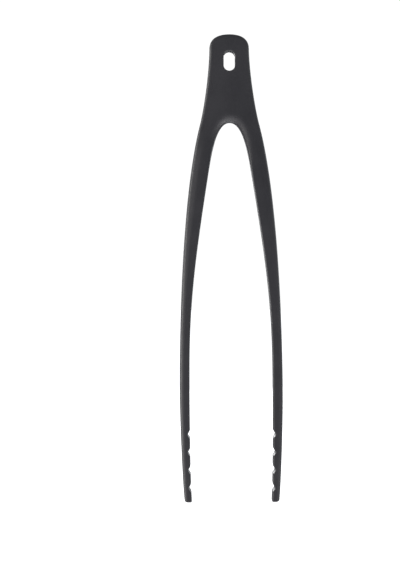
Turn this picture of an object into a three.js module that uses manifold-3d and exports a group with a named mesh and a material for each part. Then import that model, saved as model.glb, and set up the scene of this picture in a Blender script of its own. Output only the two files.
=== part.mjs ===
// Spring tongs moulded in one piece: a hang tab, a yoke, and two arms that spring from it.
// Millimetres. +Z runs up the tongs, +X across them, and Y through their depth.
// The origin is the centre of the hang slot. The mould has no joints or pins: the arms bend.
// Each functional stretch of the moulding is a mesh of its own, parted from the next by GAP.
import * as THREE from "three";
import { mergeVertices } from "three/addons/utils/BufferGeometryUtils.js";
import Module from "manifold-3d";

const wasm = await Module();
wasm.setup();

// Lengths along the tongs
const LENGTH = 76; // top of the tab to the tips
const TOP_Z = 4.3; // top of the tab, above the slot's centre
const TIP_Z = TOP_Z - LENGTH;
const TAB_END_Z = -4.5; // below this the tab widens into the yoke and starts to deepen
const YOKE_END_Z = -13.5; // below this the two arms are apart
const BEND_Z = -23; // where each arm turns, taken as one pivot
const SPRING_END_Z = -32.5; // below this an arm is stiff and has its full depth
const JAW_Z = -58.5; // the notched jaws start here
const GAP = 0.3; // between one stretch and the next

// Depths and edges
const TAB_DEPTH = 2.8;
const JAW_DEPTH = 4.4;
const EDGE = 0.28; // width of the bevel along every long edge

// Hang slot
const SLOT_WIDTH = 1.9;
const SLOT_HEIGHT = 3.3;

// Jaw notches
const NOTCHES = 4;
const NOTCH_PITCH = 2.9;
const TIP_LAND = 2.25; // from the tip to the middle of the lowest notch
const NOTCH_MOUTH = 1.3;
const NOTCH_APEX = 0.48; // depth at which the two flanks would meet
const NOTCH_ROUND = 0.2; // depth at which the flanks turn into the rounded bottom
const NOTCH_REACH = 0.3; // how far a notch's cutter stands out past the jaw's edge

// Places that the outline passes through, for the +X half. slope is how far the edge moves out
// for each millimetre that it runs down, and before and after are how far, up and down the edge,
// it keeps that direction.
const TAB_SIDE = { x: 3.19, z: 2, slope: 0.016, after: 4 };
const NECK = { x: 4.84, z: -10.5, slope: 0.26, before: 2.8, after: 12.5 };
const BELLY = { x: 8.36, z: -54.8, slope: 0, before: 7.5, after: 3.2 };
const TIP_CORNER = 0.42; // round of the tip's outer corner
const HEEL = { x: 7.7, z: TIP_Z + TIP_CORNER, slope: -0.097, before: 3.2 };
const THROAT = { x: 3.5, z: -18, slope: 0.162, before: 4.3, after: 15.5 };
const BELLY_INSIDE = { x: 6.82, z: -52, slope: 0, before: 12, after: 10 };
const TIP_INSIDE = { x: 6.55, z: TIP_Z, slope: -0.05, before: 5 };
const CROTCH_Z = -10;
const CROTCH_REACH = 1.95; // how far the crotch's arch runs level to each side
const TOP_REACH = 1.95; // how far the tab's top edge runs level to each side
const CORNER_REACH = 1.6; // how far the tab's sides run straight into its top corners
const ROUND_PULL = 0.55; // of a cubic curve's ends, for a quarter circle

const NYLON = { color: 0x38383d, roughness: 0.55, metalness: 0 };
const CURVE_STEPS = 14;
const SHORT_CURVE = 1;
const SHORT_STEPS = 4;
const BEVEL_STEPS = 2;
const FAR = 20; // reaches past the tongs on every side
const SAME_POINT = 1e-4; // points nearer than this are one

const below = (p) => [p.x + p.slope * p.after, p.z - p.after];
const above = (p) => [p.x - p.slope * p.before, p.z + p.before];

function curve(from, leaving, arriving, to) {
  const points = [from, leaving, arriving, to].map((p) => new THREE.Vector2(...p));
  return new THREE.CubicBezierCurve(...points);
}

function curveBetween(a, b) {
  return curve([a.x, a.z], below(a), above(b), [b.x, b.z]);
}

const jawLine = curveBetween(BELLY_INSIDE, TIP_INSIDE);

// The curves of the +X half, from the top of the tab down the outside, and then the inside
// upwards to the crotch.
function halfOutline() {
  const { x, z } = TAB_SIDE;
  const top = curve([0, TOP_Z], [TOP_REACH, TOP_Z], [x, z + CORNER_REACH], [x, z]);
  const outside = [top, curveBetween(TAB_SIDE, NECK), curveBetween(NECK, BELLY)];
  outside.push(curveBetween(BELLY, HEEL));
  outside.push(tipCorner());
  const arch = curve([0, CROTCH_Z], [CROTCH_REACH, CROTCH_Z], above(THROAT), [THROAT.x, THROAT.z]);
  const inside = [arch, curveBetween(THROAT, BELLY_INSIDE), jawLine];
  return { outside, inside };
}

// The round outer corner of a tip, from the heel down and in.
function tipCorner() {
  const [r, x] = [TIP_CORNER, HEEL.x - TIP_CORNER];
  const pull = r * ROUND_PULL;
  return curve([HEEL.x, TIP_Z + r], [HEEL.x, TIP_Z + r - pull], [x + pull, TIP_Z], [x, TIP_Z]);
}

// The points along a chain of curves, with each joint between two curves taken once.
function pointsAlong(curves) {
  return curves.flatMap((c, i) => {
    const steps = c.getLength() < SHORT_CURVE ? SHORT_STEPS : CURVE_STEPS;
    return c.getPoints(steps).slice(i ? 1 : 0);
  });
}

// The whole moulding's outline with the slot in it, in the X-Z plane.
function tongsShape() {
  const { outside, inside } = halfOutline();
  const half = [...pointsAlong(outside), ...pointsAlong(inside).reverse()];
  const mirrored = half.slice(1, -1).map((p) => new THREE.Vector2(-p.x, p.y));
  const shape = new THREE.Shape([...half, ...mirrored.reverse()]);
  const r = SLOT_WIDTH / 2;
  const rise = SLOT_HEIGHT / 2 - r;
  const slot = new THREE.Path();
  slot.absarc(0, rise, r, 0, Math.PI, false);
  slot.absarc(0, -rise, r, Math.PI, 2 * Math.PI, false);
  shape.holes.push(slot);
  return shape;
}

// One notch's cutter: u runs along the jaw's edge and v into the jaw.
function notchShape() {
  const outside = -NOTCH_REACH;
  const uAt = (v) => (NOTCH_MOUTH / 2) * (1 - v / NOTCH_APEX);
  const shape = new THREE.Shape();
  shape.moveTo(-uAt(outside), outside);
  shape.lineTo(-uAt(NOTCH_ROUND), NOTCH_ROUND);
  shape.quadraticCurveTo(0, NOTCH_APEX, uAt(NOTCH_ROUND), NOTCH_ROUND);
  shape.lineTo(uAt(outside), outside);
  return shape;
}

// Stands an extrusion of an X-Z outline up, centred on Y = 0.
function standUp(geometry, depth) {
  return geometry.translate(0, 0, -depth / 2).rotateX(Math.PI / 2);
}

function solidOf(geometry) {
  const bare = geometry.clone();
  bare.deleteAttribute("normal");
  bare.deleteAttribute("uv");
  const merged = mergeVertices(bare, SAME_POINT);
  const vertProperties = merged.attributes.position.array;
  const triVerts = new Uint32Array(merged.index.array);
  return new wasm.Manifold(new wasm.Mesh({ numProp: 3, vertProperties, triVerts }));
}

function geometryOf(solid) {
  const { vertProperties, triVerts } = solid.getMesh();
  const geometry = new THREE.BufferGeometry();
  geometry.setAttribute("position", new THREE.BufferAttribute(vertProperties, 3));
  geometry.setIndex(new THREE.BufferAttribute(triVerts, 1));
  return geometry;
}

function mouldingSolid() {
  const geometry = new THREE.ExtrudeGeometry(tongsShape(), {
    depth: JAW_DEPTH - 2 * EDGE,
    curveSegments: CURVE_STEPS,
    bevelThickness: EDGE,
    bevelSize: EDGE,
    bevelOffset: -EDGE,
    bevelSegments: BEVEL_STEPS,
  });
  let solid = solidOf(standUp(geometry, JAW_DEPTH - 2 * EDGE));
  for (const cutter of notchCutters()) solid = solid.subtract(cutter);
  return solid;
}

function notchCutters() {
  const depth = 2 * JAW_DEPTH;
  const edgeLength = jawLine.getLength();
  const cutters = [];
  for (let i = 0; i < NOTCHES; i++) {
    const along = (edgeLength - TIP_LAND - i * NOTCH_PITCH) / edgeLength;
    const place = jawLine.getPointAt(along);
    const heading = jawLine.getTangentAt(along).angle();
    for (const side of [1, -1]) {
      const geometry = new THREE.ExtrudeGeometry(notchShape(), { depth, bevelEnabled: false });
      geometry.rotateZ(heading).translate(place.x, place.y, 0);
      if (side < 0) geometry.rotateY(Math.PI).translate(0, 0, depth);
      cutters.push(solidOf(standUp(geometry, depth)));
    }
  }
  return cutters;
}

// The depth of the moulding at a height: even on the tab, growing along the yoke and the
// springs, and even again on the arms and jaws.
function depthAt(z) {
  const share = (TAB_END_Z - z) / (TAB_END_Z - SPRING_END_Z);
  return TAB_DEPTH + (JAW_DEPTH - TAB_DEPTH) * THREE.MathUtils.clamp(share, 0, 1);
}

function thinned(geometry) {
  const place = geometry.attributes.position;
  for (let i = 0; i < place.count; i++) {
    place.setY(i, (place.getY(i) * depthAt(place.getZ(i))) / JAW_DEPTH);
  }
  geometry.computeVertexNormals();
  return geometry;
}

const moulding = mouldingSolid();

// The stretch of the moulding between two heights, on one side (1 or -1) or right across (0).
function stretch(name, topZ, endZ, side) {
  const height = topZ - endZ - GAP;
  const box = new THREE.BoxGeometry(side ? FAR : 2 * FAR, 2 * FAR, height);
  box.translate((side * FAR) / 2, 0, (topZ + endZ) / 2);
  const geometry = thinned(geometryOf(moulding.intersect(solidOf(box))));
  const mesh = new THREE.Mesh(geometry, new THREE.MeshStandardMaterial(NYLON));
  mesh.name = name;
  return mesh;
}

const tongs = new THREE.Group();
tongs.add(stretch("hang_tab", TOP_Z + GAP, TAB_END_Z, 0));
tongs.add(stretch("spring_yoke", TAB_END_Z, YOKE_END_Z, 0));
for (const [hand, side] of [["left", -1], ["right", 1]]) {
  const arm = new THREE.Group();
  arm.add(stretch(`${hand}_shoulder`, YOKE_END_Z, BEND_Z, side));
  arm.add(stretch(`${hand}_upper_arm`, BEND_Z, SPRING_END_Z, side));
  arm.add(stretch(`${hand}_lower_arm`, SPRING_END_Z, JAW_Z, side));
  arm.add(stretch(`${hand}_jaw`, JAW_Z, TIP_Z - GAP, side));
  tongs.add(arm);
}

export default tongs;
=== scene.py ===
"""The looks of the spring tongs: one moulding of dark nylon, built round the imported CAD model.

The moulding's skin is laid out once, as rungs that cross half of it from the outer edge to the
inner one. Each CAD node is then stood for by its own closed stretch of that skin, so
neighbours share their cut and the real moulding's unbroken surface shows no joint.
"""
import math
from collections import namedtuple

import bmesh
import bpy
import numpy as np
from mathutils import Matrix, Vector


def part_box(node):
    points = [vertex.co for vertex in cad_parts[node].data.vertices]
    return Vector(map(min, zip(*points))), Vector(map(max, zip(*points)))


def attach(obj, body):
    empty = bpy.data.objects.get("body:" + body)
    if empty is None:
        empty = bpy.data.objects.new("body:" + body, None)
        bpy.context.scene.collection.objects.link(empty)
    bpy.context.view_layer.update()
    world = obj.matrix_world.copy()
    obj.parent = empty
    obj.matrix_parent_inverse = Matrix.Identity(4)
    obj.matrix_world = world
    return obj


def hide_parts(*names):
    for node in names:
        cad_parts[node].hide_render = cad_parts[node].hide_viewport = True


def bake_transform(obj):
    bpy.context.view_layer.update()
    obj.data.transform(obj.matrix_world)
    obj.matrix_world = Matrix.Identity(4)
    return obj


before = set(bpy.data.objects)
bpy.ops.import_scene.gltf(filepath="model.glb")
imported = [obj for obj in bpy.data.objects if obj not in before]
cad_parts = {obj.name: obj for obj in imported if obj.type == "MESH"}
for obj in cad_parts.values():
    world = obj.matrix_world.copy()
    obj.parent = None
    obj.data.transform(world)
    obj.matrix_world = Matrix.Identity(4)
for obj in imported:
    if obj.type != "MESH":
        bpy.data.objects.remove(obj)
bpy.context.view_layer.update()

# ---------------------------------------------------------------- driving sizes, in millimetres
MM = 0.001


def node_span(node, axis):
    """A CAD node's lowest and highest place along an axis, in millimetres."""
    low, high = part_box(node)
    return low[axis] / MM, high[axis] / MM


def cut_between(upper, lower):
    """The level halfway across the gap between two CAD nodes."""
    return (node_span(upper, 2)[0] + node_span(lower, 2)[1]) / 2


TOP_Z = node_span("hang_tab", 2)[1]
TIP_Z = node_span("left_jaw", 2)[0]
TAB_END_Z = cut_between("hang_tab", "spring_yoke")
YOKE_END_Z = cut_between("spring_yoke", "left_shoulder")
BEND_Z = cut_between("left_shoulder", "left_upper_arm")
SPRING_END_Z = cut_between("left_upper_arm", "left_lower_arm")
JAW_Z = cut_between("left_lower_arm", "left_jaw")
TAB_HALF_DEPTH = node_span("hang_tab", 1)[1]
JAW_HALF_DEPTH = node_span("left_jaw", 1)[1]

# The outline of the +X half, as the CAD model has it. Each place that the edge passes through
# has its slope (out for each millimetre down) and how far it keeps it, up and down the edge.
Place = namedtuple("Place", "x z slope before after")
TAB_SIDE = Place(3.19, 2, 0.016, 0, 4)
NECK = Place(4.84, -10.5, 0.26, 2.8, 12.5)
BELLY = Place(8.36, -54.8, 0, 7.5, 3.2)
HEEL = Place(7.7, -71.28, -0.097, 3.2, 0)
THROAT = Place(3.5, -18, 0.162, 4.3, 15.5)
BELLY_INSIDE = Place(6.82, -52, 0, 12, 10)
TIP_INSIDE = Place(6.55, TIP_Z, -0.05, 5, 0)
CROTCH_Z = -10
CROTCH_REACH = 1.95
TOP_REACH = 1.95
CORNER_REACH = 1.6
SLOT_RADIUS = 0.95
SLOT_RISE = 0.7  # from the slot's centre to the centre of each round end

# Jaw notches, straight-sided with a round bottom. The lower corner is crisper than the upper.
NOTCHES = 4
NOTCH_PITCH = 2.9
TIP_LAND = 2.25
NOTCH_MOUTH = 1.3
NOTCH_APEX = 0.48
NOTCH_ROUND = 0.28
LOWER_CORNER = 0.03
UPPER_CORNER = 0.11
CORNER_TURN = 0.5  # of half the mouth, over which one corner changes into the other
NOTCH_POLISH = 0.08  # the notches' walls are polished by use from this depth on

# Edges and faces
OUTER_ROUND = 0.45
INNER_ROUND = 0.16
FORK_ROUND = 0.32  # of the inner edges round the crotch, which sharpen from here down the arms
FORK_ROUND_Z = -15
ARM_ROUND_Z = -21
SLOT_ROUND = 0.12
OUTER_SHARE = 0.26  # most of an arm's width that its outer round takes
INNER_SHARE = 0.16
HEAD_SLOPE = 0.09  # the head's front falls to each side of a soft middle ridge
HEAD_SOFTNESS = 0.6
TIP_ROUND = 0.14  # of the tips' lower edges
TIP_CORNER = 0.42  # of the tips' outer corners
TIP_INNER_CORNER = 0.04
SKIN = 0.05  # how far the skin stands proud of the CAD outline
DRAFT = 0.012  # the walls lean in by this share of the way from the parting line to a face
PARTING_RISE = 0.018  # how far the parting line stands out from the walls
PARTING_HALF_WIDTH = 0.07
PARTING_SUPPORT = 1.4  # half widths out, a row that keeps the line's shading off the wall
SHOULDER_SLOPE = 0.4  # the outer part of an arm's front slopes back, past a soft ridge
SHOULDER_SHARE = 0.42  # of the arm's width
SHOULDER_SOFTNESS = 0.16  # of the ridge, as a share of half the width
SHOULDER_START_Z = -10.5
SHOULDER_FULL_Z = -16
FLARE_DROP = 0.8  # of the wide soft bevel round the crotch
FLARE_WIDTH = 1.4
FLARE_NARROW = 0.5  # the bevel's width where it dies out
FLARE_FADE_Z = -11
FLARE_END_Z = -19

# Where the rungs across the skin meet the outer edge
SLOT_SIDE_END = 1.4  # above the tab's end, for the slot's last rung
CROTCH_SIDE_RISE = 1.6  # above the crotch, for the crotch's first rung

# How finely the skin is divided
SLOT_RUNGS = 30
TAB_RUNGS = 8
YOKE_RUNGS = 22
ARCH_RUNGS = 22
ARM_STEP = 0.55
NOTCH_STEP = 0.07
NOTCH_STEP_REACH = 0.62  # of the mouth, to each side of a notch's middle
LAND_STEP = 0.25
NEAR_CUT = 0.05
ROUND_STEPS = 5
WEB_STEPS = 12
TIP_STEPS = 7
CURVE_SAMPLES = 400
FLARE_STRIDE = 4  # of the crotch's curve points, the ones that the flare is measured from
SLOPE_STEP = 0.01  # over which an edge's steepness is measured
WELD = 0.002  # points nearer than this are one
SHORTEST_EDGE = 0.001
SAME_LEVEL = 1e-6


# ---------------------------------------------------------------- the outline
def cubic(a, b, c, d, count=CURVE_SAMPLES):
    """Points along a cubic curve with these four handles."""
    t = np.linspace(0, 1, count)[:, None]
    a, b, c, d = (np.array(p, float) for p in (a, b, c, d))
    s = 1 - t
    return a * s**3 + 3 * b * s * s * t + 3 * c * s * t * t + d * t**3


def below(p):
    """The curve handle under a place."""
    return (p.x + p.slope * p.after, p.z - p.after)


def above(p):
    """The curve handle over a place."""
    return (p.x - p.slope * p.before, p.z + p.before)


def curve_between(a, b):
    """The outline from one place down to the next."""
    return cubic((a.x, a.z), below(a), above(b), (b.x, b.z))


def smooth(start, end, value):
    """0 up to start, 1 from end on, and an even S between."""
    t = np.clip((value - start) / (end - start), 0, 1)
    return t * t * (3 - 2 * t)


TAB_CORNER = (TAB_SIDE.x, TAB_SIDE.z + CORNER_REACH)
TOP_CURVE = cubic((0, TOP_Z), (TOP_REACH, TOP_Z), TAB_CORNER, (TAB_SIDE.x, TAB_SIDE.z))
SIDE_CURVE = np.vstack(
    [curve_between(TAB_SIDE, NECK), curve_between(NECK, BELLY), curve_between(BELLY, HEEL)]
)
ARCH_CURVE = cubic((0, CROTCH_Z), (CROTCH_REACH, CROTCH_Z), above(THROAT), (THROAT.x, THROAT.z))
INSIDE_CURVE = np.vstack(
    [ARCH_CURVE, curve_between(THROAT, BELLY_INSIDE), curve_between(BELLY_INSIDE, TIP_INSIDE)]
)
NOTCH_LEVELS = [TIP_Z + TIP_LAND + k * NOTCH_PITCH for k in range(NOTCHES)]


def x_along(curve, z):
    """Where a curve that runs steadily down passes a level."""
    return np.interp(z, curve[::-1, 1], curve[::-1, 0])


def notch_depth(z):
    """How far the notches cut into a jaw at a level."""
    depth = np.zeros_like(z, dtype=float)
    for level in NOTCH_LEVELS:
        up = (z - level) / (NOTCH_MOUTH / 2)
        flanks = NOTCH_APEX * (1 - np.sqrt(up**2 + (NOTCH_ROUND / NOTCH_APEX / 2) ** 2))
        turned = smooth(-CORNER_TURN, CORNER_TURN, up)
        corner = LOWER_CORNER + (UPPER_CORNER - LOWER_CORNER) * turned
        # the flanks meet the plain edge in a soft corner, whose tail is taken off
        depth = np.maximum(depth, (flanks + np.sqrt(flanks**2 + corner**2)) / 2 - corner / 4)
    return depth


def plain_inside(z):
    """The arms' inner edge without its notches, or the middle line above the crotch."""
    return np.where(z > CROTCH_Z, 0, x_along(INSIDE_CURVE, z))


def corner_inset(z, radius):
    """How far a round corner at the tip takes the edge in at a level."""
    up = np.clip(1 - (z - TIP_Z) / radius, 0, 1)
    return radius * (1 - np.sqrt(1 - up * up))


def inner_x(z):
    return plain_inside(z) + notch_depth(z) + corner_inset(z, TIP_INNER_CORNER)


def outer_x(z):
    return x_along(SIDE_CURVE, z) - corner_inset(z, TIP_CORNER)


def steepness(edge, z):
    """The length of an edge for each millimetre of its height."""
    return math.hypot(1, (edge(z + SLOPE_STEP) - edge(z - SLOPE_STEP)) / (2 * SLOPE_STEP))


# ---------------------------------------------------------------- the faces
def half_depth(z):
    """From the middle plane to a plain face: even on the tab and the arms, and growing between."""
    share = smooth(TAB_END_Z, SPRING_END_Z, z)
    return TAB_HALF_DEPTH + (JAW_HALF_DEPTH - TAB_HALF_DEPTH) * share


def shoulder(x, z):
    """How far the outer part of an arm's front face falls back from the ridge beside it."""
    inside, outside = plain_inside(z), x_along(SIDE_CURVE, z)
    half_width = (outside - inside) / 2
    past = (x - outside) / half_width + 2 * SHOULDER_SHARE
    fall = (past + np.sqrt(past**2 + SHOULDER_SOFTNESS**2)) / 2
    below_head = smooth(SHOULDER_START_Z, SHOULDER_FULL_Z, z)
    head_fall = HEAD_SLOPE * (np.hypot(x, HEAD_SOFTNESS) - HEAD_SOFTNESS) * (1 - below_head)
    return SHOULDER_SLOPE * half_width * fall * below_head + head_fall


def flare(x, z):
    """How far a face falls towards the crotch, in a wide bevel that fades down both arms."""
    arch_x, arch_z = ARCH_CURVE[::FLARE_STRIDE].T
    gap = np.hypot(x[:, None] - arch_x, z[:, None] - arch_z)
    left = smooth(FLARE_END_Z, FLARE_FADE_Z, z)
    width = FLARE_NARROW + (FLARE_WIDTH - FLARE_NARROW) * left
    near = np.clip(1 - gap.min(axis=1) / width, 0, 1)
    return FLARE_DROP * near**2 * left


def face_depth(x, z, side):
    """How far a face is from the middle plane. side is -1 for the front and 1 for the back."""
    depth = half_depth(z) - flare(x, z)
    return depth - shoulder(x, z) if side < 0 else depth


def inner_round(z, width):
    """The rounding of an arm's inner edge at a level."""
    fork = FORK_ROUND - INNER_ROUND
    return min(INNER_ROUND, INNER_SHARE * width) + fork * smooth(ARM_ROUND_Z, FORK_ROUND_Z, z)


def tip_share(z):
    """What the round lower edges leave of the depth near a tip."""
    full = half_depth(z)
    up = np.clip(1 - (z - TIP_Z) / TIP_ROUND, 0, 1)
    return (full - TIP_ROUND * (1 - np.sqrt(1 - up * up))) / full


# ---------------------------------------------------------------- the rungs
# outward and inward are the ways into the material from each edge, and a step along one of them
# is as long as the distance from the edge that it gains. inward is None on the middle line.
Rung = namedtuple("Rung", "outer outward inner inward edge_round inner_round")


def walk(points, count):
    """Evenly spaced points along a polyline, with its directions there."""
    steps = np.hypot(*np.diff(points, axis=0).T)
    length = np.concatenate([[0], np.cumsum(steps)])
    keep = np.concatenate([[True], steps > 0])
    points, length = points[keep], length[keep]
    at = np.linspace(0, length[-1], count)
    slopes = np.gradient(points, length, axis=0)
    places = np.column_stack([np.interp(at, length, points[:, i]) for i in (0, 1)])
    ways = np.column_stack([np.interp(at, length, slopes[:, i]) for i in (0, 1)])
    return places, ways / np.hypot(*ways.T)[:, None]


def slot_outline():
    """The +X half of the slot's edge, from its top to its bottom."""
    turn = np.linspace(math.pi / 2, 0, CURVE_SAMPLES)
    x = SLOT_RADIUS * np.cos(turn)
    z = SLOT_RISE + SLOT_RADIUS * np.sin(turn)
    return np.vstack([np.column_stack([x, z]), np.column_stack([x, -z])[::-1]])


def slot_rungs():
    """Rungs from the top of the tab to the lower end of the slot."""
    side = SIDE_CURVE[SIDE_CURVE[:, 1] > TAB_END_Z + SLOT_SIDE_END]
    rim, rim_ways = walk(np.vstack([TOP_CURVE, side]), SLOT_RUNGS)
    slot, slot_ways = walk(slot_outline(), SLOT_RUNGS)
    into_rim = np.column_stack([rim_ways[:, 1], -rim_ways[:, 0]])
    into_slot = np.column_stack([-slot_ways[:, 1], slot_ways[:, 0]])
    into_rim[0], into_slot[0], into_slot[-1] = (0, -1), (0, 1), (0, -1)
    return [
        Rung(rim[i], into_rim[i], slot[i], into_slot[i], OUTER_ROUND, SLOT_ROUND)
        for i in range(SLOT_RUNGS)
    ]


def outer_at(z):
    """The outer edge at a level, with its way into the material."""
    return np.array([outer_x(z), z]), np.array([-steepness(outer_x, z), 0])


def middle_rungs(first, last, count):
    """Rungs that end on the middle line, without the first. Each end is (outer z, middle z)."""
    rungs = []
    for share in np.linspace(0, 1, count + 1)[1:]:
        outer_z, middle_z = (1 - share) * np.array(first) + share * np.array(last)
        outer, outward = outer_at(outer_z)
        rungs.append(Rung(outer, outward, np.array([0, middle_z]), None, OUTER_ROUND, 0))
    return rungs


def arch_rungs(first_outer_z):
    """Rungs from the middle of the crotch round its arch to the end of the yoke."""
    arch = ARCH_CURVE[ARCH_CURVE[:, 1] >= YOKE_END_Z]
    arch = np.vstack([arch, [inner_x(YOKE_END_Z), YOKE_END_Z]])
    places, ways = walk(arch, ARCH_RUNGS)
    level_way = np.array([steepness(inner_x, YOKE_END_Z), 0])
    rungs = []
    for i, share in enumerate(np.linspace(0, 1, ARCH_RUNGS)):
        inward = np.array([-ways[i, 1], ways[i, 0]]) * (1 - share**3) + level_way * share**3
        if i == 0:
            inward = np.array([0, 1])
        outer, outward = outer_at(first_outer_z + (YOKE_END_Z - first_outer_z) * share)
        rungs.append(Rung(outer, outward, places[i], inward, OUTER_ROUND, FORK_ROUND))
    return rungs


def arm_levels():
    """The levels of the rungs below the yoke, closer together at the cuts, notches and tip."""
    levels = [YOKE_END_Z]
    for start, end in ((YOKE_END_Z, BEND_Z), (BEND_Z, SPRING_END_Z), (SPRING_END_Z, JAW_Z)):
        count = round((start - end) / ARM_STEP)
        levels += list(np.linspace(start - NEAR_CUT, end + NEAR_CUT, count)) + [end]
    levels.append(JAW_Z - NEAR_CUT)
    z = JAW_Z - LAND_STEP
    while z > TIP_Z + TIP_CORNER:
        levels.append(z)
        near_notch = any(abs(z - level) < NOTCH_STEP_REACH * NOTCH_MOUTH for level in NOTCH_LEVELS)
        z -= NOTCH_STEP if near_notch else LAND_STEP
    turn = np.linspace(math.pi / 2, 0, TIP_STEPS + 1)[1:]
    tip = [TIP_Z + TIP_CORNER * (1 - math.cos(angle)) for angle in turn]
    return levels + [TIP_Z + TIP_CORNER] + tip


def arm_rung(z):
    """A level rung across an arm. Past the tip's round corner it keeps the ways from above it."""
    width = outer_x(z) - plain_inside(z)
    rounds = min(OUTER_ROUND, OUTER_SHARE * width), inner_round(z, width)
    plain_z = max(z, TIP_Z + TIP_CORNER + 2 * SLOPE_STEP)
    outward = np.array([-steepness(outer_x, plain_z), 0])
    inward = np.array([steepness(inner_x, plain_z), 0])
    return Rung(np.array([outer_x(z), z]), outward, np.array([inner_x(z), z]), inward, *rounds)


def lay_rungs():
    """All rungs of the +X half, from the top of the tab to the tip."""
    slot = slot_rungs()
    slot_end = (slot[-1].outer[1], slot[-1].inner[1] - SLOT_ROUND)
    crotch_z = CROTCH_Z + FORK_ROUND
    crotch_outer_z = CROTCH_Z + CROTCH_SIDE_RISE
    tab = middle_rungs(slot_end, (TAB_END_Z, TAB_END_Z), TAB_RUNGS)
    yoke = middle_rungs((TAB_END_Z, TAB_END_Z), (crotch_outer_z, crotch_z), YOKE_RUNGS)[:-1]
    arch = arch_rungs(crotch_outer_z)
    arms = [arm_rung(z) for z in arm_levels()[1:]]
    return slot + tab + yoke + arch + arms


# ---------------------------------------------------------------- the skin
def wall_and_round(edge, way, radius, side, wall_wear=0):
    """Points from the parting line up a wall and over its rounded edge, with their wear."""
    turn = np.linspace(0, math.pi / 2, ROUND_STEPS + 1)
    edge = edge - way * SKIN
    top = edge + way * (PARTING_RISE + radius)
    wall = face_depth(top[:1], top[1:], side)[0] - radius
    half = PARTING_HALF_WIDTH
    rows = np.array([0, half / 2, half, half * PARTING_SUPPORT, wall / 2])
    past_line = np.array([0, 0, 1, 1, 1])
    inset = rows * DRAFT + past_line * PARTING_RISE
    inset = np.concatenate([inset, PARTING_RISE + wall * DRAFT + radius * (1 - np.cos(turn))])
    places = edge + way * inset[:, None]
    faces = face_depth(places[:, 0], places[:, 1], side)
    depth = np.concatenate([rows, faces[len(rows):] - radius * (1 - np.sin(turn))])
    wear = np.concatenate([np.full(len(rows), wall_wear), np.maximum(wall_wear, np.sin(2 * turn))])
    return stand(places, depth, side), wear


def stand(places, depth, side):
    """Outline places and their depths as points in space."""
    x, z = places.T
    return np.column_stack([x, side * depth * tip_share(z), z])


def web(outer_end, inner_end, side):
    """Points across the face between the two rounded edges."""
    share = np.linspace(0, 1, WEB_STEPS + 1)[:, None]
    places = outer_end * (1 - share) + inner_end * share
    depth = face_depth(places[:, 0], places[:, 1], side)
    return stand(places, depth, side), np.zeros(len(share))


def strips(rung, side):
    """The three strips of a rung on one face: outer wall and edge, web, inner edge and wall."""
    outer, outer_wear = wall_and_round(rung.outer, rung.outward, rung.edge_round, side)
    if rung.inward is None:
        inner, inner_wear = None, None
        inner_end = rung.inner
    else:
        polish = smooth(0, NOTCH_POLISH, notch_depth(rung.inner[1]))
        inner, inner_wear = wall_and_round(rung.inner, rung.inward, rung.inner_round, side, polish)
        inner_end = inner[-1, [0, 2]]
    middle, middle_wear = web(outer[-1, [0, 2]], inner_end, side)
    return [(outer, outer_wear), (middle, middle_wear), (inner, inner_wear)]


class Skin:
    """A mesh in the making: points in millimetres, each with its wear, and quads."""

    def __init__(self):
        self.bm = bmesh.new()
        self.wear = self.bm.verts.layers.float.new("wear")

    def row(self, points, wear, mirror):
        """A row of vertices, on the +X side (mirror 1) or the -X side (mirror -1)."""
        verts = []
        for (x, y, z), amount in zip(points, wear):
            vert = self.bm.verts.new((mirror * x * MM, y * MM, z * MM))
            vert[self.wear] = amount
            verts.append(vert)
        return verts

    def strip(self, row, next_row):
        """The quads between two rows."""
        for a, b, c, d in zip(row, row[1:], next_row[1:], next_row):
            self.bm.faces.new((a, b, c, d))

    def half(self, rungs, mirror):
        """The skin over a run of rungs, on both faces."""
        for side in (-1, 1):
            last = [None, None, None]
            for rung in rungs:
                made = [
                    self.row(points, wear, mirror) if points is not None else None
                    for points, wear in strips(rung, side)
                ]
                for row, next_row in zip(last, made):
                    if row and next_row:
                        self.strip(row, next_row)
                last = made

    def close(self):
        """Welds the strips together and caps the open ends flat."""
        bm = self.bm
        bmesh.ops.remove_doubles(bm, verts=bm.verts, dist=WELD * MM)
        bmesh.ops.dissolve_degenerate(bm, edges=bm.edges, dist=SHORTEST_EDGE * MM)
        for face in bm.faces:
            face.smooth = True
        ends = [edge for edge in bm.edges if edge.is_boundary]
        for edge in ends:
            edge.smooth = False
        for cap in bmesh.ops.edgeloop_fill(bm, edges=ends)["faces"]:
            cap.smooth = False
        bmesh.ops.recalc_face_normals(bm, faces=bm.faces)

    def finish(self, name):
        """The closed skin as an object of the scene."""
        self.close()
        mesh = bpy.data.meshes.new(name)
        self.bm.to_mesh(mesh)
        self.bm.free()
        piece = bpy.data.objects.new(name, mesh)
        bpy.context.scene.collection.objects.link(piece)
        return piece


RUNGS = lay_rungs()


def rungs_between(top_z, end_z):
    """The run of rungs from one level cut to the next."""
    ends = [(rung.outer[1], rung.inner[1]) for rung in RUNGS]
    level = [i for i, (outer_z, inner_z) in enumerate(ends) if abs(outer_z - inner_z) < SAME_LEVEL]
    first = max((i for i in level if abs(ends[i][0] - top_z) < SAME_LEVEL), default=0)
    last = max(i for i in level if ends[i][0] > end_z - SAME_LEVEL)
    return RUNGS[first : last + 1]


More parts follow.
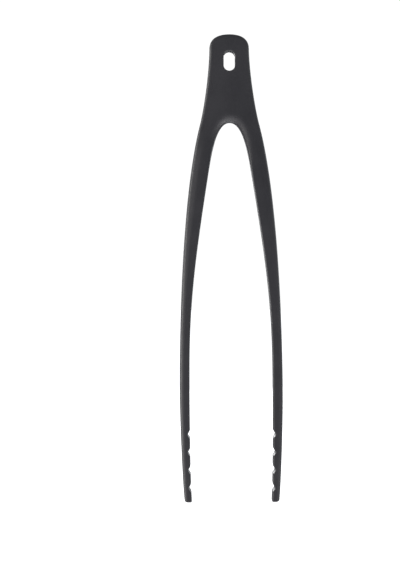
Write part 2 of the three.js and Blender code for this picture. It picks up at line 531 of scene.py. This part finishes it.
# ---------------------------------------------------------------- material
NYLON_IOR = 1.5
DARK_BODY = (0.0262, 0.0246, 0.0292)
PALE_BODY = (0.0374, 0.0354, 0.0404)
SPECKS = (0.050, 0.049, 0.054)
WORN = (0.062, 0.062, 0.064)
CLOUDS_PER_MM = 0.22
GRAIN_PER_MM = 5.5
WEAR_PER_MM = 0.9
LOW_NOISE, HIGH_NOISE = 0.3, 0.7  # nearly all of a noise lies between these
SPECKS_FROM, SPECKS_TO = 0.42, 0.75  # of the grain's noise
WEAR_FROM, WEAR_TO = 0.35, 0.65  # of the wear's noise
LEAST_WEAR = 0.6  # what the wear's noise leaves of it at its lowest
SPECKS_MIX = 0.35  # at most, of the specks' colour
WORN_MIX = 0.5  # at most, of the worn edges' colour
SMOOTHEST, ROUGHEST = 0.46, 0.58
WORN_POLISH = 0.3  # taken off the roughness where the wear is full
GRAIN_HEIGHT = 0.01
GRAIN_STRENGTH = 0.35
MIX_ONE, MIX_OTHER, MIX_RESULT = 6, 7, 2  # the colour sockets of a Mix node


class Finish:
    """A material in the making: its Principled shader, and the nodes that feed it."""

    def __init__(self, name):
        self.material = bpy.data.materials.new(name)
        self.material.use_nodes = True
        self.nodes = self.material.node_tree.nodes
        self.link = self.material.node_tree.links.new
        self.shader = self.nodes["Principled BSDF"].inputs
        self.place = self.nodes.new("ShaderNodeTexCoord").outputs["Object"]

    def noise(self, per_mm, detail):
        node = self.nodes.new("ShaderNodeTexNoise")
        node.inputs["Scale"].default_value = per_mm / MM
        node.inputs["Detail"].default_value = detail
        self.link(self.place, node.inputs["Vector"])
        return node.outputs["Fac"]

    def painted(self, layer):
        """An amount that the mesh carries at each vertex."""
        node = self.nodes.new("ShaderNodeAttribute")
        node.attribute_name = layer
        return node.outputs["Fac"]

    def span(self, value, low, high, new_low, new_high):
        """A value stretched from one range to another, and kept inside it."""
        node = self.nodes.new("ShaderNodeMapRange")
        self.link(value, node.inputs["Value"])
        ranges = {"From Min": low, "From Max": high, "To Min": new_low, "To Max": new_high}
        for name, number in ranges.items():
            node.inputs[name].default_value = number
        return node.outputs["Result"]

    def combine(self, operation, a, b):
        node = self.nodes.new("ShaderNodeMath")
        node.operation = operation
        self.link(a, node.inputs[0])
        self.link(b, node.inputs[1])
        return node.outputs[0]

    def mix(self, amount, one, other):
        """A colour between two others, each of them a plain colour or a node's."""
        node = self.nodes.new("ShaderNodeMix")
        node.data_type = "RGBA"
        self.link(amount, node.inputs[0])
        for index, colour in ((MIX_ONE, one), (MIX_OTHER, other)):
            if isinstance(colour, tuple):
                node.inputs[index].default_value = (*colour, 1)
            else:
                self.link(colour, node.inputs[index])
        return node.outputs[MIX_RESULT]

    def bump(self, height, distance, strength):
        node = self.nodes.new("ShaderNodeBump")
        node.inputs["Strength"].default_value = strength
        node.inputs["Distance"].default_value = distance
        self.link(height, node.inputs["Height"])
        return node.outputs["Normal"]


def nylon():
    """Matt black nylon: a fine spark-eroded grain, slightly polished along the edges."""
    finish = Finish("black_nylon_moulded")
    finish.shader["Metallic"].default_value = 0
    finish.shader["IOR"].default_value = NYLON_IOR
    clouds = finish.noise(CLOUDS_PER_MM, 3)
    grain = finish.noise(GRAIN_PER_MM, 2)
    patches = finish.span(finish.noise(WEAR_PER_MM, 4), WEAR_FROM, WEAR_TO, LEAST_WEAR, 1)
    worn = finish.combine("MULTIPLY", finish.painted("wear"), patches)

    body = finish.mix(finish.span(clouds, LOW_NOISE, HIGH_NOISE, 0, 1), DARK_BODY, PALE_BODY)
    body = finish.mix(finish.span(grain, SPECKS_FROM, SPECKS_TO, 0, SPECKS_MIX), body, SPECKS)
    body = finish.mix(finish.span(worn, 0, 1, 0, WORN_MIX), body, WORN)
    finish.link(body, finish.shader["Base Color"])

    rough = finish.span(grain, LOW_NOISE, HIGH_NOISE, SMOOTHEST, ROUGHEST)
    polish = finish.span(worn, 0, 1, 0, WORN_POLISH)
    finish.link(finish.combine("SUBTRACT", rough, polish), finish.shader["Roughness"])
    finish.link(finish.bump(grain, GRAIN_HEIGHT * MM, GRAIN_STRENGTH), finish.shader["Normal"])
    return finish.material


# ---------------------------------------------------------------- the moulding
NYLON = nylon()


def add_piece(node, top_z, end_z, mirrors):
    """The closed stretch of skin that stands for a CAD node, on one side or on both."""
    skin = Skin()
    for mirror in mirrors:
        skin.half(rungs_between(top_z, end_z), mirror)
    piece = skin.finish(node + "_skin")
    piece.data.materials.append(NYLON)
    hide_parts(node)
    return piece


BOTH_SIDES = (1, -1)

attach(add_piece("hang_tab", TOP_Z, TAB_END_Z, BOTH_SIDES), "head")
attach(add_piece("spring_yoke", TAB_END_Z, YOKE_END_Z, BOTH_SIDES), "head")
for hand, mirror in (("left", -1), ("right", 1)):
    arm = hand + "_arm"
    shoulder_skin = add_piece(f"{hand}_shoulder", YOKE_END_Z, BEND_Z, (mirror,))
    upper_arm_skin = add_piece(f"{hand}_upper_arm", BEND_Z, SPRING_END_Z, (mirror,))
    for spring in (shoulder_skin, upper_arm_skin):
        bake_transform(spring)
    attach(add_piece(f"{hand}_lower_arm", SPRING_END_Z, JAW_Z, (mirror,)), arm)
    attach(add_piece(f"{hand}_jaw", JAW_Z, TIP_Z, (mirror,)), arm)


# ---------------------------------------------------------------- the set, in metres
FLOOR_SIZE = 6
FLOOR_DROP = 12 * MM  # below the tips
FLOOR_GREY = (0.8, 0.8, 0.8)
FLOOR_ROUGHNESS = 0.9
WHITE = (1, 1, 1)
WARM_WHITE = (1, 0.98, 0.95)
COOL_WHITE = (0.90, 0.94, 1)
BACKDROP_STRENGTH = 1.05
SURROUND_STRENGTH = 0.35
LIGHT_DISTANCE = 0.5
MIDDLE = Vector((0, 0, (TOP_Z + TIP_Z) / 2 * MM))
CAMERA_DISTANCE = 285 * MM
CAMERA_X = -4.99 * MM
CAMERA_Z = -36.45 * MM
CAMERA_ROLL = 0.35  # degrees
VIEW_HEIGHT = 93.05 * MM  # that the picture takes in at the tongs
NEAREST, FARTHEST = 0.01, 20  # that the camera sees


def emissive_floor():
    """A plain, near-white floor, lit so evenly that it meets the backdrop without an edge."""
    bpy.ops.mesh.primitive_grid_add(size=FLOOR_SIZE, location=(0, 0, TIP_Z * MM - FLOOR_DROP))
    floor = bpy.context.object
    floor.name = "floor"
    material = bpy.data.materials.new("pale_floor")
    material.use_nodes = True
    shader = material.node_tree.nodes["Principled BSDF"].inputs
    shader["Base Color"].default_value = (*FLOOR_GREY, 1)
    shader["Roughness"].default_value = FLOOR_ROUGHNESS
    shader["Emission Color"].default_value = (*WHITE, 1)
    shader["Emission Strength"].default_value = 1
    floor.data.materials.append(material)
    floor.visible_diffuse = False
    floor.visible_glossy = False
    floor.visible_shadow = False


def backdrop():
    """White to the camera, and a dimmer, cooler surround for the light that falls on things."""
    world = bpy.data.worlds.new("studio")
    bpy.context.scene.world = world
    world.use_nodes = True
    nodes, links = world.node_tree.nodes, world.node_tree.links
    nodes.clear()
    ray, pick = nodes.new("ShaderNodeLightPath"), nodes.new("ShaderNodeMixShader")
    out = nodes.new("ShaderNodeOutputWorld")
    glows = ((COOL_WHITE, SURROUND_STRENGTH), (WHITE, BACKDROP_STRENGTH))
    for socket, (colour, strength) in enumerate(glows, start=1):
        glow = nodes.new("ShaderNodeBackground")
        glow.inputs["Color"].default_value = (*colour, 1)
        glow.inputs["Strength"].default_value = strength
        links.new(glow.outputs[0], pick.inputs[socket])
    links.new(ray.outputs["Is Camera Ray"], pick.inputs["Fac"])
    links.new(pick.outputs[0], out.inputs["Surface"])


def softbox(name, azimuth, elevation, size, watts, colour=WHITE):
    """An area light that faces the middle of the tongs. Azimuth 0 is in front, 90 on the right."""
    light = bpy.data.lights.new(name, "AREA")
    light.shape = "RECTANGLE"
    light.size, light.size_y = size
    light.energy = watts
    light.color = colour
    lamp = bpy.data.objects.new(name, light)
    lamp.visible_camera = False
    bpy.context.scene.collection.objects.link(lamp)
    a, e = math.radians(azimuth), math.radians(elevation)
    back = Vector((math.sin(a) * math.cos(e), -math.cos(a) * math.cos(e), math.sin(e)))
    lamp.location = MIDDLE + back * LIGHT_DISTANCE
    lamp.rotation_euler = (-back).to_track_quat("-Z", "Y").to_euler()


def camera():
    """A long lens, level with the middle and a little to the left, as a catalogue shot has it."""
    data = bpy.data.cameras.new("camera")
    cam = bpy.data.objects.new("camera", data)
    bpy.context.scene.collection.objects.link(cam)
    data.lens = data.sensor_width * CAMERA_DISTANCE / VIEW_HEIGHT  # the picture is upright
    data.clip_start, data.clip_end = NEAREST, FARTHEST
    place = Matrix.Translation((CAMERA_X, -CAMERA_DISTANCE, CAMERA_Z))
    roll = Matrix.Rotation(math.radians(CAMERA_ROLL), 4, "Y")
    cam.matrix_world = place @ roll @ Matrix.Rotation(math.pi / 2, 4, "X")
    bpy.context.scene.camera = cam


emissive_floor()
backdrop()
softbox("key_side", -88, 0, (0.2, 0.5), 1.15, WARM_WHITE)
softbox("key_front", -60, -10, (0.2, 0.4), 0.9, WARM_WHITE)
softbox("under", 0, -88, (0.6, 0.6), 1.6)
softbox("under_left", -50, -65, (0.4, 0.4), 0.6)
softbox("under_right", 78, -48, (0.3, 0.3), 2.3)
softbox("rim", 140, 20, (0.4, 0.5), 0.7)
softbox("behind", -169, 7, (0.4, 0.16), 0.5)
camera()
bpy.context.scene.view_settings.view_transform = "Standard"
